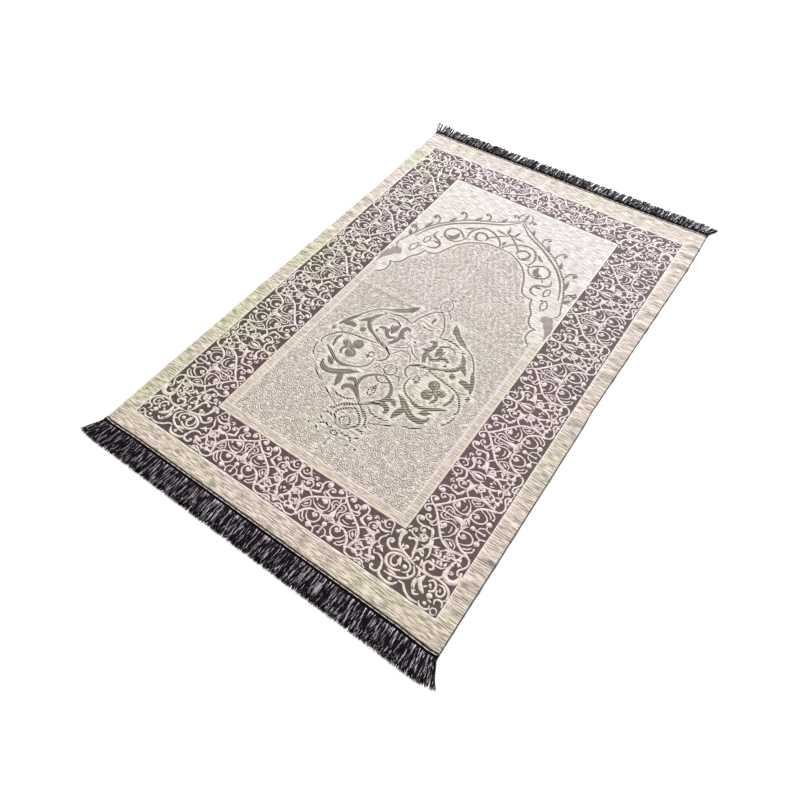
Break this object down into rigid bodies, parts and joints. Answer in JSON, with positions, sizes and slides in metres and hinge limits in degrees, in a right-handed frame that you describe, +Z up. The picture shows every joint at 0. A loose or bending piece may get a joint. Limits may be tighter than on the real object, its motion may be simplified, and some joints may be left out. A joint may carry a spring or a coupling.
{
  "type": "prayer rug",
  "caption": "Flat woven prayer rug lying open: a thin hemmed cloth with a dark patterned border band, an arch and a medallion, and a fringe sewn along each short end.",
  "frame": {"origin": "middle of the cloth, on its flat underside", "axes": "+X across the width, +Y along the length towards the arch of the pattern, +Z up off the floor"},
  "size_m": [0.7281, 1.1274, 0.0046],
  "materials": {
    "woven_cloth": "cream jacquard weave, matte with a slight sheen",
    "fringe_yarn": "near-black twisted yarn with a dull sheen"
  },
  "bodies": {
    "root": {"rug_cloth": "woven_cloth", "fringe_near": "fringe_yarn", "fringe_far": "fringe_yarn"}
  },
  "joints": []
}
